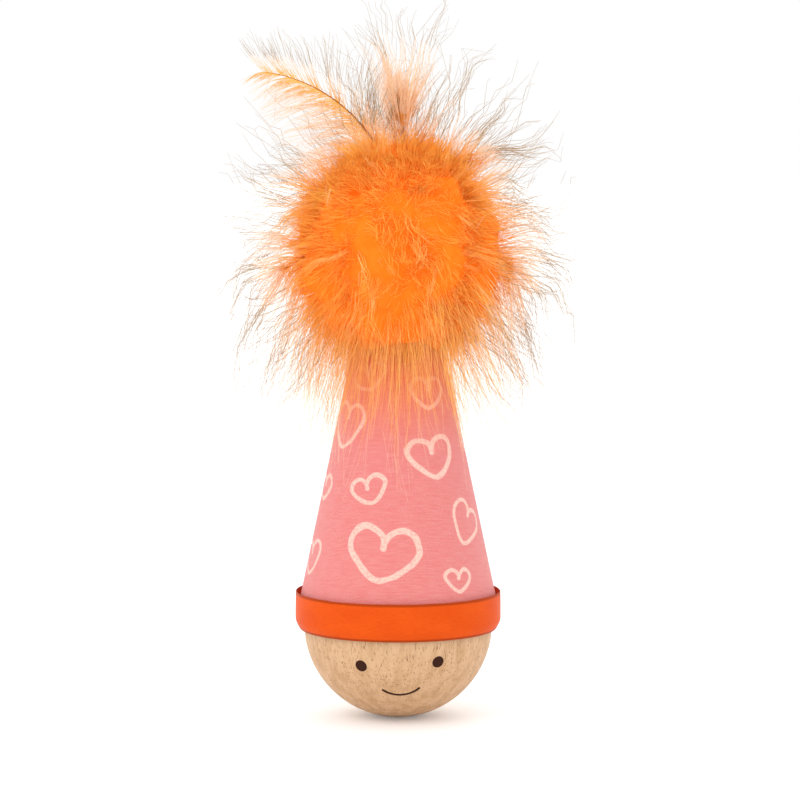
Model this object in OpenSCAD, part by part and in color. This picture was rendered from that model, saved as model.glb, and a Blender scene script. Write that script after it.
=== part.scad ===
// Self-righting wobble toy for a cat, in millimetres.
// A weighted beech ball carries a cloth covered paperboard cone, with a bell hung inside it
// and a tuft of soft feathers bound into the plug at its tip.
// The origin is the middle of the small flat on which the ball stands. The face looks to -Y.

/* [Ball base] */
// Diameter of the turned ball
ball_d = 50; // [46:0.5:58]
// How much is sanded off the ball's lowest point, which leaves the small flat that it stands on
foot_cut = 0.1; // [0.08:0.01:0.3]
// Height of the straight belt, from the ball's middle to the lower edge of the cone
belt_h = 4.5; // [4:0.5:7]
// Height of the wooden spigot above the line where the cone jams on it
spigot_h = 3; // [2:0.5:8]
// Wood left under the weight
floor_t = 4; // [3.5:0.25:5]

/* [Weight] */
// Diameter of the turned steel weight
weight_d = 33; // [24:0.5:34]
// Height of the weight
weight_h = 14; // [10:0.5:18]
// Diameter of the weight's flat underside
weight_nose_d = 18; // [12:0.5:19]
// Height of the bevel that the drill's point leaves under the weight
weight_nose_h = 5.5; // [5:0.25:7]
// Thickness of the wooden disc pressed in over the weight
lid_t = 2.5; // [1.5:0.25:4]
// Room for glue round the weight and the disc
glue_gap = 0.15; // [0.05:0.05:0.3]

/* [Face] */
// Diameter of an eye
eye_d = 3.2; // [2:0.1:5]
// Angle from the middle of the face out to an eye
eye_spread = 24.9; // [15:0.5:35]
// Angle of the eyes below the equator
eye_drop = 17.5; // [10:0.5:25]
// Angle of the middle of the smile below the equator
smile_drop = 40; // [34:0.5:50]
// Width of the smile from end to end
smile_w = 9.4; // [6:0.2:12]
// Height of the smile's bow
smile_sag = 1.65; // [0.8:0.05:2.6]
// Width of the smile's line
smile_line = 0.7; // [0.4:0.05:1]
// Depth of the marks, under the ball's highest point there
mark_depth = 1.2; // [1:0.1:2]
// Angle by which the face leans over to one side
face_lean = 3; // [0:0.5:10]

/* [Cone] */
// Height of the cone from its lower edge to its tip
cone_h = 92.5; // [80:0.5:120]
// Outer diameter of the cloth at the tip
tip_d = 14.2; // [13.6:0.2:18]
// Thickness of the rolled paperboard
core_t = 0.5; // [0.4:0.1:1]
// Thickness of the printed cotton
cover_t = 0.3; // [0.2:0.05:0.5]
// Room between the wooden belt and the cone's lower edge
skirt_gap = 0.8; // [0.5:0.1:1.2]
// Depth of the cloth's hem below the paperboard
hem_h = 2.5; // [1.5:0.25:3]
// Angle that the cloth overlaps itself at the back
lap_angle = 12; // [6:1:24]
// Room where two glued faces meet
fit_gap = 0.05; // [0.02:0.01:0.1]

/* [Ribbon] */
// Width of the satin ribbon
ribbon_w = 10; // [8:0.5:14]
// Thickness of the ribbon
ribbon_t = 0.25; // [0.2:0.05:0.5]
// How far the ribbon's lower edge lies below the ball's middle
ribbon_drop = 1.2; // [0.5:0.1:2]
// Height of the stretch at the ribbon's lower edge that is drawn in
ribbon_tuck_h = 2.6; // [1.5:0.1:3]
// How far the lower edge is drawn in
ribbon_tuck = 1.1; // [0.4:0.1:1.2]
// Angle that the ribbon's end overlaps its start at the back
ribbon_lap_angle = 24; // [10:1:40]

/* [Tip] */
// Height of the wooden plug in the cone's tip
plug_h = 9; // [8:0.5:14]
// Depth of the plug's top below the cone's upper edge
plug_recess = 0.5; // [0:0.1:2]
// Depth of the lower pivot of the quill bundle below the plug's top
socket_depth = 2.5; // [1.5:0.25:4]
// Diameter of the bound bundle of quills
binding_d = 5; // [4:0.25:5.6]
// Length of the bundle between the place where it flexes and the fan of quills
binding_l = 7; // [5:0.5:12]
// Angle that the bundle may flex each way in the plug
sway_angle = 12; // [6:1:15]
// Running gap at the bundle's ends
pivot_gap = 0.3; // [0.2:0.05:0.6]

/* [Bell] */
// Outer diameter of the bell
bell_d = 9.5; // [8:0.25:10.5]
// Thickness of the bell's brass
bell_t = 0.4; // [0.3:0.05:0.6]
// Width of the rolled lip where the two shells meet
lip_w = 0.3; // [0.2:0.05:0.5]
// Height of each shell's lip
lip_h = 0.45; // [0.3:0.05:0.8]
// Width of the sound slot
slot_w = 1.2; // [0.8:0.1:2]
// Diameter of the round holes at the slot's ends
slot_hole_d = 2; // [1.5:0.1:2.4]
// Diameter of the steel pellet
pellet_d = 2.6; // [2.5:0.1:3.5]
// Diameter of the wire of the eye, the link and the bell's loop
wire_d = 0.8; // [0.6:0.05:1]
// Diameter of the eye, at the middle of its wire
eye_ring_d = 3.2; // [3:0.1:4]
// Diameter of the link, at the middle of its wire
link_ring_d = 4; // [3.8:0.1:5]
// Diameter of the bell's loop, at the middle of its wire
loop_ring_d = 3; // [2.8:0.1:4]
// Length of the eye's shank in the plug
shank_l = 3; // [2:0.25:3.25]
// Running gap between wires that hang on each other
wire_gap = 0.15; // [0.1:0.05:0.3]

/* [Lower feathers] */
// Length of a lower feather, one of those that droop round the cone's tip
lower_len = 52; // [44:1:56]
// Width of a lower feather
lower_w = 25; // [16:1:26]
// Angle above level at which a lower feather starts
lower_start = 8; // [6:1:14]
// Angle through which a lower feather curls over
lower_curl = 80; // [60:1:95]

/* [Middle feathers] */
// Length of a middle feather
middle_len = 45; // [38:1:48]
// Width of a middle feather
middle_w = 28; // [18:1:29]
// Angle above level at which a middle feather starts
middle_start = 48; // [40:1:54]
// Angle through which a middle feather curls over
middle_curl = 78; // [66:1:92]

/* [Upper feathers] */
// Length of an upper feather
upper_len = 56; // [46:1:60]
// Width of an upper feather
upper_w = 30; // [12:1:30]
// Angle above level at which an upper feather starts
upper_start = 70; // [60:1:71]
// Angle through which an upper feather curls over
upper_curl = 40; // [32:1:56]
// Length of the upper feather that reaches out to the right
reach_len = 50; // [40:1:56]
// Angle through which that feather curls over
reach_curl = 76; // [50:1:90]

/* [Long feather] */
// Length of the long feather's curved stretch
long_len = 61; // [50:1:70]
// Width of the long feather
long_w = 26; // [14:1:30]
// Length of the straight stretch of its quill
long_straight = 3.2; // [2:0.2:6]
// Angle above level at which the long feather starts
long_start = 89; // [80:1:90]
// Angle through which the long feather curls over
long_curl = 87; // [60:1:100]

/* [Vanes] */
// Thickness of a vane at its middle
vane_t = 0.5; // [0.4:0.05:1]
// Diameter of a quill where it leaves the binding
quill_d = 0.8; // [0.6:0.05:0.85]
// Number of tufts along each edge of a vane
tufts = 6; // [3:1:9]
// Depth of the notches between tufts, as a share of the vane's half width
tuft_depth = 0.28; // [0:0.02:0.5]
// Height by which a downy vane is cupped, as a share of its half width
cup = 0.36; // [0:0.02:0.5]
// Share of a downy feather's quill that carries no vane
downy_bare = 0.06; // [0:0.01:0.15]
// Share of the long feather's quill that carries no vane
long_bare = 0.22; // [0.1:0.01:0.4]

/* [Hidden] */
$fn = 96;
// A cut runs this far past the face that it goes through
over = 1;

// Ball and cone
ball_r = ball_d / 2;
ball_z = ball_r - foot_cut;
cone_z = ball_z + belt_h;
tip_z = cone_z + cone_h;
cone_r = ball_r + skirt_gap + core_t + cover_t;
cone_slope = (cone_r - tip_d / 2) / cone_h;
jam_z = cone_z + (skirt_gap - fit_gap) / cone_slope;
spigot_z = jam_z + spigot_h;
hem_r = ball_r + fit_gap + cover_t;
// The lap at the back starts a little above the cone's lower edge
lap_z = cone_z + hem_h / 2;
// Outer radius of the cloth at a height
function cloth_r(z) = cone_r - cone_slope * (z - cone_z);
// Outer and inner radius of the paperboard at a height
function core_out_r(z) = cloth_r(z) - cover_t;
function core_in_r(z) = core_out_r(z) - core_t;

// Weight
pocket_r = weight_d / 2 + glue_gap;
weight_top = floor_t + weight_h;

// Face
smile_r = (pow(smile_w / 2, 2) + pow(smile_sag, 2)) / (2 * smile_sag);
smile_half = asin(smile_w / 2 / smile_r);
mark_gap = 0.03;
mark_h = mark_depth + over;
// Facets of the ball where a thin mark is cut from it
mark_fn = 360;

// Ribbon
ribbon_in_r = cone_r + cover_t + fit_gap;
ribbon_z = ball_z - ribbon_drop;

// Tip
plug_top = tip_z - plug_recess;
plug_z = plug_top - plug_h;
sway_z = plug_top - socket_depth;
nod_z = sway_z + binding_l;
socket_r = binding_d / 2 + pivot_gap;
flare = sway_angle + 3;

// Bell, hung from the plug downwards
wire_r = wire_d / 2;
eye_z = plug_z - eye_ring_d / 2 - wire_r;
link_top = eye_z - eye_ring_d / 2 + wire_d + wire_gap;
link_z = link_top - link_ring_d / 2;
loop_top = link_z - link_ring_d / 2 + wire_d + wire_gap;
loop_z = loop_top - loop_ring_d / 2;
bell_r = bell_d / 2;
bell_in_r = bell_r - bell_t;
bell_z = loop_z - loop_ring_d / 2 - bell_r + bell_t / 2;
pellet_gap = 0.1;
pellet_z = bell_z - bell_in_r + pellet_d / 2 + pellet_gap;

// Feathers
root_r = binding_d / 2 + pivot_gap;
rings_per_tuft = 3;
rings = tufts * rings_per_tuft;
leaf_power = 1.1;
leaf_fill = 0.8;
quill_taper = 0.75;
lower_count = 6;
middle_count = 5;
upper_count = 3;
// Headings of the first feather of each row and of the long feather, from +X
lower_turn = -60;
middle_turn = -90;
upper_turn = 0;
long_turn = 180;
// The long feather shows its flat side to the front
long_roll = 90;
// Sides of a feather's cross-section, and where its upper side has points between edge and rib
section_sides = 12;
round_step = 360 / section_sides;
edge_shares = [-1, -0.55];
// A vane narrower than this many quill radii is drawn as bare quill
bare_limit = 1.01;

// A point in the upright plane of a curling quill, as [distance out, height], at share s
function curl_point(s, len, start, curl) = let(
    bend_r = len / (curl * PI / 180),
    now = start - curl * s
) [bend_r * (sin(start) - sin(now)), bend_r * (cos(now) - cos(start))];

// Half width of a vane at share s of its length, with tufts along its edge
function vane_half(s, w, bare) = let(
    u = max(0, (s - bare) / (1 - bare)),
    leaf = pow(max(0, sin(180 * pow(u, leaf_power))), leaf_fill),
    notch = 1 - tuft_depth * (1 - abs(cos(180 * u * tufts)))
) max(quill_d / 2, w / 2 * leaf * notch);

// Cross-section of a feather, as [across, up]: a thin lens with the quill as its rib
function vane_section(half, quill, dish) = let(
    t = vane_t / 2,
    side = [for (u = edge_shares) [u * half, (1 - u * u) * t]],
    rib = [[-quill, t], [0, quill + t / 2], [quill, t]],
    upper = half <= quill * bare_limit
        ? [for (a = [180:-round_step:0]) [quill * cos(a), quill * sin(a)]]
        : concat(side, rib, [for (p = [side[1], side[0]]) [-p[0], p[1]]]),
    lower = [for (i = [section_sides / 2 - 1:-1:1]) [upper[i][0], -upper[i][1]]]
) [for (p = concat(upper, lower)) [p[0], p[1] - dish * half * pow(p[0] / max(half, quill), 2)]];

// Base
module base() {
    color("burlywood") difference() {
        union() {
            intersection() {
                translate([0, 0, ball_z]) sphere(ball_r);
                cylinder(h = jam_z, r = ball_d);
            }
            translate([0, 0, ball_z]) cylinder(h = jam_z - ball_z, r = ball_r);
            translate([0, 0, jam_z])
                cylinder(h = spigot_h, r1 = ball_r, r2 = core_in_r(spigot_z) - fit_gap);
        }
        weight_pocket();
        eye_shape(-1, mark_gap);
        eye_shape(1, mark_gap);
        smile_shape(mark_gap);
    }
}

module weight_pocket() {
    translate([0, 0, floor_t])
        cylinder(h = weight_nose_h, r1 = weight_nose_d / 2 + glue_gap, r2 = pocket_r);
    translate([0, 0, floor_t + weight_nose_h])
        cylinder(h = spigot_z - floor_t - weight_nose_h + over, r = pocket_r);
}

// Weight
module ballast_weight() {
    color("gray") {
        translate([0, 0, floor_t]) {
            cylinder(h = weight_nose_h, d1 = weight_nose_d, d2 = weight_d);
            translate([0, 0, weight_nose_h]) cylinder(h = weight_h - weight_nose_h, d = weight_d);
        }
    }
}

module ballast_lid() {
    color("tan") translate([0, 0, weight_top]) cylinder(h = lid_t, d = weight_d);
}

// Face
// Turns -Y to a place on the ball, given as angles to the right and down, and starts there
// at the marks' floor, with +Z outwards
module on_face(turn, drop) {
    translate([0, 0, ball_z]) rotate([0, -face_lean, 0]) rotate([0, 0, turn]) rotate([drop, 0, 0])
        translate([0, mark_depth - ball_r, 0]) rotate([90, 0, 0]) children();
}

module eye_shape(side, gap) {
    on_face(side * eye_spread, eye_drop) cylinder(h = mark_h, d = eye_d + 2 * gap);
}

module smile_shape(gap) {
    line = smile_line + 2 * gap;
    on_face(0, smile_drop) translate([0, smile_r]) {
        rotate([0, 0, -90 - smile_half]) rotate_extrude(angle = 2 * smile_half)
            translate([smile_r - line / 2, 0]) square([line, mark_h]);
        for (side = [-1, 1]) rotate([0, 0, side * smile_half]) translate([0, -smile_r])
            cylinder(h = mark_h, d = line);
    }
}

// A mark ends at the ball's own surface
module cut_to_ball() {
    intersection() {
        translate([0, 0, ball_z]) sphere(ball_r, $fn = mark_fn);
        children();
    }
}

module left_eye() {
    color("saddlebrown") cut_to_ball() eye_shape(-1, 0);
}

module right_eye() {
    color("saddlebrown") cut_to_ball() eye_shape(1, 0);
}

module smile() {
    color("saddlebrown") cut_to_ball() smile_shape(0);
}

// Cone
module cone_core() {
    color("wheat") rotate_extrude() polygon([
        [core_in_r(cone_z), cone_z],
        [core_out_r(cone_z), cone_z],
        [core_out_r(tip_z), tip_z],
        [core_in_r(tip_z), tip_z]
    ]);
}

module cone_cover() {
    color("lightcoral") {
        rotate_extrude() polygon([
            [hem_r - cover_t, cone_z - hem_h],
            [hem_r, cone_z - hem_h],
            [cone_r, cone_z],
            [cloth_r(tip_z), tip_z],
            [core_out_r(tip_z), tip_z],
            [core_out_r(cone_z), cone_z]
        ]);
        rotate([0, 0, 90 - lap_angle / 2]) rotate_extrude(angle = lap_angle) polygon([
            [cloth_r(lap_z) - cover_t / 2, lap_z],
            [cloth_r(lap_z) + cover_t, lap_z],
            [cloth_r(tip_z) + cover_t, tip_z],
            [cloth_r(tip_z) - cover_t / 2, tip_z]
        ]);
    }
}

// Ribbon
module ribbon_profile(inner, thick) {
    polygon([
        [inner - ribbon_tuck, 0],
        [inner - ribbon_tuck + thick, 0],
        [inner + thick, ribbon_tuck_h],
        [inner + thick, ribbon_w],
        [inner, ribbon_w],
        [inner, ribbon_tuck_h]
    ]);
}

module ribbon_band() {
    color("orangered") translate([0, 0, ribbon_z]) {
        rotate_extrude() ribbon_profile(ribbon_in_r, ribbon_t);
        rotate([0, 0, 90 - ribbon_lap_angle / 2]) rotate_extrude(angle = ribbon_lap_angle)
            ribbon_profile(ribbon_in_r + ribbon_t / 2, 1.5 * ribbon_t);
    }
}

// Tip
module tip_plug() {
    color("peru") difference() {
        translate([0, 0, plug_z]) cylinder(
            h = plug_h,
            r1 = core_in_r(plug_z) - fit_gap,
            r2 = core_in_r(plug_top) - fit_gap
        );
        translate([0, 0, sway_z]) {
            sphere(socket_r);
            cylinder(
                h = socket_depth + over,
                r1 = socket_r,
                r2 = socket_r / cos(flare) + (socket_depth + over) * tan(flare)
            );
        }
        translate([0, 0, plug_z - over]) cylinder(h = shank_l + over + fit_gap, r = wire_r + mark_gap);
    }
}

module stem_binding() {
    color("sienna") {
        translate([0, 0, sway_z]) sphere(d = binding_d);
        translate([0, 0, sway_z]) cylinder(h = binding_l, d = binding_d);
        translate([0, 0, nod_z]) sphere(d = binding_d);
    }
}

// Bell
// A closed wire ring that lies in the XZ plane
module wire_ring(ring_d) {
    rotate([90, 0, 0]) rotate_extrude() translate([ring_d / 2, 0]) circle(wire_r);
}

module bell_eye() {
    color("silver") {
        translate([0, 0, eye_z]) wire_ring(eye_ring_d);
        translate([0, 0, eye_z + eye_ring_d / 2])
            cylinder(h = plug_z + shank_l - eye_z - eye_ring_d / 2, r = wire_r);
    }
}

module bell_link() {
    color("silver") translate([0, 0, link_z]) rotate([0, 0, 90]) wire_ring(link_ring_d);
}

// Half of the bell's hollow ball, with its lip at the seam
module bell_half(up) {
    translate([0, 0, bell_z]) difference() {
        union() {
            sphere(bell_r);
            translate([0, 0, -lip_h]) cylinder(h = 2 * lip_h, r = bell_r + lip_w);
        }
        sphere(bell_in_r);
        translate([0, 0, up ? -bell_d : 0]) cylinder(h = bell_d, r = bell_d);
    }
}

module bell_upper_shell() {
    color("gold") {
        difference() {
            union() {
                bell_half(true);
                translate([0, 0, loop_z]) wire_ring(loop_ring_d);
            }
            translate([0, 0, bell_z]) sphere(bell_in_r);
        }
    }
}

module bell_lower_shell() {
    color("gold") difference() {
        bell_half(false);
        translate([0, 0, bell_z - bell_r]) cube([bell_r, slot_w, bell_r], center = true);
        for (side = [-1, 1]) translate([side * bell_r / 2, 0, bell_z - bell_d])
            cylinder(h = bell_d, d = slot_hole_d);
    }
}

module bell_pellet() {
    color("dimgray") translate([0, 0, pellet_z]) sphere(d = pellet_d);
}

// Feathers
// A feather leaves the binding straight, for a length, and then curls over as it goes out.
// Turn is its heading, roll turns its flat side about the quill, bare is the share without vane.
module feather(turn, start, curl, len, w, roll, straight, bare, dish) {
    sides = section_sides;
    function mid(s) = curl_point(s, len, start, curl);
    function place(s, p) = let(
        a = start - curl * s,
        m = mid(s),
        across = p[0] * cos(roll) - p[1] * sin(roll),
        rise = p[0] * sin(roll) + p[1] * cos(roll),
        out = (root_r + straight) * cos(start) + m[0] - rise * sin(a),
        high = (root_r + straight) * sin(start) + m[1] + rise * cos(a)
    ) [out * cos(turn) - across * sin(turn), out * sin(turn) + across * cos(turn), high];
    function ring(s) = let(
        quill = quill_d / 2 * (1 - quill_taper * s)
    ) [for (p = vane_section(s <= bare ? quill : vane_half(s, w, bare), quill, dish)) place(s, p)];
    // The straight stretch of the quill is one ring set back along its own line
    first = ring(0);
    back = [cos(start) * cos(turn), cos(start) * sin(turn), sin(start)] * straight;
    points = concat(
        [for (p = first) p - back],
        [for (k = [0:rings - 1]) each ring(k / rings)],
        [place(0, [0, 0]) - back, place(1, [0, 0])]
    );
    loops = rings + 1;
    root = loops * sides;
    tip = root + 1;
    faces = concat(
        [for (k = [0:loops - 2]) for (j = [0:sides - 1]) let(
            a = k * sides + j,
            b = k * sides + (j + 1) % sides
        ) each [[a, b, a + sides], [b, b + sides, a + sides]]],
        [for (j = [0:sides - 1]) [j, root, (j + 1) % sides]],
        [for (j = [0:sides - 1]) let(
            a = (loops - 1) * sides + j,
            b = (loops - 1) * sides + (j + 1) % sides
        ) [a, b, tip]]
    );
    translate([0, 0, nod_z]) polyhedron(points, faces);
}

module lower_feather(k) {
    color("darkorange") feather(
        lower_turn + 360 / lower_count * k, lower_start, lower_curl, lower_len, lower_w,
        0, 0, downy_bare, cup
    );
}

module middle_feather(k) {
    color("darkorange") feather(
        middle_turn + 360 / middle_count * k, middle_start, middle_curl, middle_len, middle_w,
        0, 0, downy_bare, cup
    );
}

module upper_feather(k) {
    color("orange") feather(
        upper_turn + 360 / upper_count * k, upper_start, upper_curl, upper_len, upper_w,
        0, 0, downy_bare, cup
    );
}

module reach_feather() {
    color("orange") feather(
        upper_turn, upper_start, reach_curl, reach_len, upper_w,
        0, 0, downy_bare, cup
    );
}

module long_feather() {
    color("coral") feather(
        long_turn, long_start, long_curl, long_len, long_w,
        long_roll, long_straight, long_bare, 0
    );
}

base();
ballast_weight();
ballast_lid();
left_eye();
right_eye();
smile();
cone_core();
cone_cover();
ribbon_band();
tip_plug();
stem_binding();
bell_eye();
bell_link();
bell_upper_shell();
bell_lower_shell();
bell_pellet();
for (k = [1:lower_count])
    lower_feather(k - 1);
for (k = [1:middle_count])
    middle_feather(k - 1);
for (k = [1:upper_count - 1])
    upper_feather(k);
reach_feather();
long_feather();
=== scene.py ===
import math
import random

import bmesh
import bpy
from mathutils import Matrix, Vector, noise


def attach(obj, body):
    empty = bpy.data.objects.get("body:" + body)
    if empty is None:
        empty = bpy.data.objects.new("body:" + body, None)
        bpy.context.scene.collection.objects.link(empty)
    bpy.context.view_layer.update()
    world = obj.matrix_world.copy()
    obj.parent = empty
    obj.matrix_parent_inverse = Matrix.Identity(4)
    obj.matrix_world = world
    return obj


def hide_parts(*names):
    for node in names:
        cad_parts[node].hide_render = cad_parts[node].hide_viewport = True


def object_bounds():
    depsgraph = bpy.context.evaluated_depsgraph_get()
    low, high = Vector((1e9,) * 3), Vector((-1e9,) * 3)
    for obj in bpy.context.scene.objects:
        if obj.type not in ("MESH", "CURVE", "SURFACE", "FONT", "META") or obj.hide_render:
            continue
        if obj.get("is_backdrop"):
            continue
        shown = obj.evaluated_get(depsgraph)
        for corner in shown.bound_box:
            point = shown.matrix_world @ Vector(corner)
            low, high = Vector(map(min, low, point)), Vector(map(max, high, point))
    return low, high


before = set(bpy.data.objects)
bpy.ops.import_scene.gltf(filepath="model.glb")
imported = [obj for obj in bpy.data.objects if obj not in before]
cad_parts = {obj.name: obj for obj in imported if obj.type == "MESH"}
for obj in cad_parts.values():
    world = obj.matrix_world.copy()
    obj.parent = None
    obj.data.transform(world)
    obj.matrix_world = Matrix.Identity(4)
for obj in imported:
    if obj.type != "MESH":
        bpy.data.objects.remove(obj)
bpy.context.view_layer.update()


# Camera
# The photograph is taken from in front and a little above, from nearly a metre away with a long
# lens, so the cone's sides hardly converge and the ribbon bows down in the middle.
CAMERA_PLACE = Vector((0.0005, -0.9, 0.163))
CAMERA_AIM = Vector((0.0005, 0.0, 0.0845))
SEEN_WIDTH = 0.212  # width of the picture at the toy, in metres
camera = bpy.data.objects.new("camera", bpy.data.cameras.new("camera"))
bpy.context.scene.collection.objects.link(camera)
camera.location = CAMERA_PLACE
camera.rotation_euler = (CAMERA_AIM - CAMERA_PLACE).to_track_quat("-Z", "Y").to_euler()
camera.data.sensor_width = 36
camera.data.lens = camera.data.sensor_width * (CAMERA_AIM - CAMERA_PLACE).length / SEEN_WIDTH
bpy.context.scene.camera = camera
bpy.context.scene.view_settings.view_transform = "Standard"


# Floor and light
# A white table top without an edge, lit from all round as in a light tent, with a large soft lamp
# in front on the left and a weaker one behind. The only shadow is the small soft one under the ball.
TABLE_GLOW = 0.16  # light that the table adds where it is seen, so that it shows as white
TENT_LIGHT = 1.16
LAMPS_AIM = Vector((0, 0, 0.07))


def linear(colour):
    """A colour written as #rrggbb, as the linear values that a shader takes."""
    parts = [int(colour[k : k + 2], 16) / 255 for k in (1, 3, 5)]
    return [p / 12.92 if p <= 0.04045 else ((p + 0.055) / 1.055) ** 2.4 for p in parts] + [1]


def add_node(tree, kind, inputs=None, **settings):
    """Adds a node. Each input is given a value, or the output socket that feeds it."""
    node = tree.nodes.new(kind)
    for name, value in settings.items():
        setattr(node, name, value)
    for name, value in (inputs or {}).items():
        if isinstance(value, bpy.types.NodeSocket):
            tree.links.new(value, node.inputs[name])
        else:
            node.inputs[name].default_value = value
    return node


def maths_in(tree):
    """A function that adds a Math node to the tree and returns its result."""

    def maths(operation, *values):
        return add_node(tree, "ShaderNodeMath", dict(enumerate(values)), operation=operation).outputs[0]

    return maths


def new_material(name):
    """A material with only its Principled shader, as (material, tree, shader)."""
    material = bpy.data.materials.new(name)
    material.use_nodes = True
    return material, material.node_tree, material.node_tree.nodes["Principled BSDF"]


floor_mesh = bpy.data.meshes.new("floor")
floor_mesh.from_pydata([(-6, -6, 0), (6, -6, 0), (6, 6, 0), (-6, 6, 0)], [], [(0, 1, 2, 3)])
floor = bpy.data.objects.new("floor", floor_mesh)
bpy.context.scene.collection.objects.link(floor)
floor_white, floor_tree, floor_shader = new_material("white_table")
floor_shader.inputs["Base Color"].default_value = linear("#f6f6f6")
floor_shader.inputs["Roughness"].default_value = 0.9
floor_shader.inputs["Specular IOR Level"].default_value = 0.1
floor_ray = add_node(floor_tree, "ShaderNodeLightPath").outputs
floor_maths = maths_in(floor_tree)
seen_ray = floor_maths("ADD", floor_ray["Is Camera Ray"], floor_ray["Is Glossy Ray"])
seen_ray = floor_maths("ADD", seen_ray, floor_ray["Is Transmission Ray"])
glow = floor_maths("MULTIPLY", seen_ray, TABLE_GLOW)
floor_shader.inputs["Emission Color"].default_value = (1, 1, 1, 1)
floor_tree.links.new(glow, floor_shader.inputs["Emission Strength"])
floor_mesh.materials.append(floor_white)
floor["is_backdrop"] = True

world = bpy.data.worlds.new("light_tent")
bpy.context.scene.world = world
world.use_nodes = True
tent = world.node_tree.nodes["Background"]
ray = add_node(world.node_tree, "ShaderNodeLightPath")
seen = add_node(
    world.node_tree,
    "ShaderNodeMapRange",
    {"Value": ray.outputs["Is Camera Ray"], "To Min": TENT_LIGHT, "To Max": 1.0},
)
tent.inputs["Color"].default_value = (1, 1, 1, 1)
world.node_tree.links.new(seen.outputs["Result"], tent.inputs["Strength"])


def soft_lamp(name, place, size, watts):
    """A square lamp that faces the middle of the toy."""
    lamp = bpy.data.objects.new(name, bpy.data.lights.new(name, "AREA"))
    lamp.data.size = size
    lamp.data.energy = watts
    lamp.location = place
    lamp.rotation_euler = (LAMPS_AIM - lamp.location).to_track_quat("-Z", "Y").to_euler()
    bpy.context.scene.collection.objects.link(lamp)


soft_lamp("key_lamp", (-0.75, -0.9, 0.95), 0.9, 3.0)
soft_lamp("back_lamp", (0.25, 0.9, 0.9), 0.8, 1.5)


# Base
# The ball is turned from one block of beech with upright grain, sanded and given a matt coat.
# It carries the cone on its belt and spigot. Beech shows short fine flecks along the grain.
MM = 1000  # millimetres in a metre


def scaled_place(tree, place, scale):
    """A place times a scale for each direction."""
    return add_node(tree, "ShaderNodeVectorMath", {0: place, 1: scale}, operation="MULTIPLY").outputs[0]


def object_place(tree, scale):
    """The place on the toy, in millimetres, times a scale for each direction."""
    place = add_node(tree, "ShaderNodeTexCoord").outputs["Object"]
    return scaled_place(tree, place, [MM * s for s in scale])


def noise_value(tree, place, scale=1.0, detail=2.0):
    return add_node(
        tree,
        "ShaderNodeTexNoise",
        {"Vector": place, "Scale": scale, "Detail": detail, "Roughness": 0.5},
    ).outputs["Fac"]


def ramp(tree, value, low, high, to_low=0.0, to_high=1.0):
    """A smooth step of a value between two levels."""
    return add_node(
        tree,
        "ShaderNodeMapRange",
        {"Value": value, "From Min": low, "From Max": high, "To Min": to_low, "To Max": to_high},
        interpolation_type="SMOOTHSTEP",
    ).outputs["Result"]


def mix_colours(tree, share, first, second):
    """Each colour is #rrggbb or an output socket."""
    return add_node(
        tree,
        "ShaderNodeMix",
        {
            "Factor": share,
            6: linear(first) if isinstance(first, str) else first,
            7: linear(second) if isinstance(second, str) else second,
        },
        data_type="RGBA",
    ).outputs[2]


def bump(tree, shader, height, depth):
    """Raises the surface by height times a depth in metres."""
    node = add_node(tree, "ShaderNodeBump", {"Height": height, "Strength": 1.0, "Distance": depth})
    tree.links.new(node.outputs["Normal"], shader.inputs["Normal"])


def turned_wood(name, pale, dark, fleck, fleck_size, roughness):
    """Wood with upright grain: broad bands, fine pores and short dark flecks of real size in mm."""
    material, tree, shader = new_material(name)
    bands = noise_value(tree, object_place(tree, (0.5, 0.5, 0.03)), detail=3)
    pores = noise_value(tree, object_place(tree, (4, 4, 0.3)), detail=2)
    wide, tall = fleck_size
    flecks = noise_value(tree, object_place(tree, (1 / wide, 1 / wide, 1 / tall)), detail=1)
    body = mix_colours(tree, ramp(tree, bands, 0.35, 0.68), pale, dark)
    body = mix_colours(tree, ramp(tree, pores, 0.45, 0.75, 0, 0.5), body, dark)
    fleck_share = ramp(tree, flecks, 0.59, 0.7, 0, 0.75)
    tree.links.new(mix_colours(tree, fleck_share, body, fleck), shader.inputs["Base Color"])
    tree.links.new(ramp(tree, pores, 0.3, 0.8, roughness, roughness + 0.15), shader.inputs["Roughness"])
    bump(tree, shader, maths_in(tree)("ADD", pores, fleck_share), -0.00004)
    return material


def dress(node, material):
    """Gives a CAD node its material."""
    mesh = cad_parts[node].data
    mesh.materials.clear()
    mesh.materials.append(material)


beech = turned_wood("beech", "#dcb389", "#c99d71", "#93653a", (0.3, 2.6), 0.5)
dress("base", beech)


# Face
# Two round eyes and a thin smile in matt dark brown paint, which has sunk a little into the wood.
# In the solids they are shallow inlays, flush with the ball.
face_paint, paint_tree, paint_shader = new_material("dark_brown_paint")
paint_patch = noise_value(paint_tree, object_place(paint_tree, (3, 3, 1)))
paint_colour = mix_colours(paint_tree, paint_patch, "#2e1206", "#3c1a0a")
paint_tree.links.new(paint_colour, paint_shader.inputs["Base Color"])
paint_tree.links.new(
    ramp(paint_tree, paint_patch, 0.3, 0.7, 0.45, 0.7), paint_shader.inputs["Roughness"]
)
paint_shader.inputs["Specular IOR Level"].default_value = 0.15
bump(paint_tree, paint_shader, paint_patch, 0.00003)
for node in ("left_eye", "right_eye", "smile"):
    dress(node, face_paint)


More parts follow.
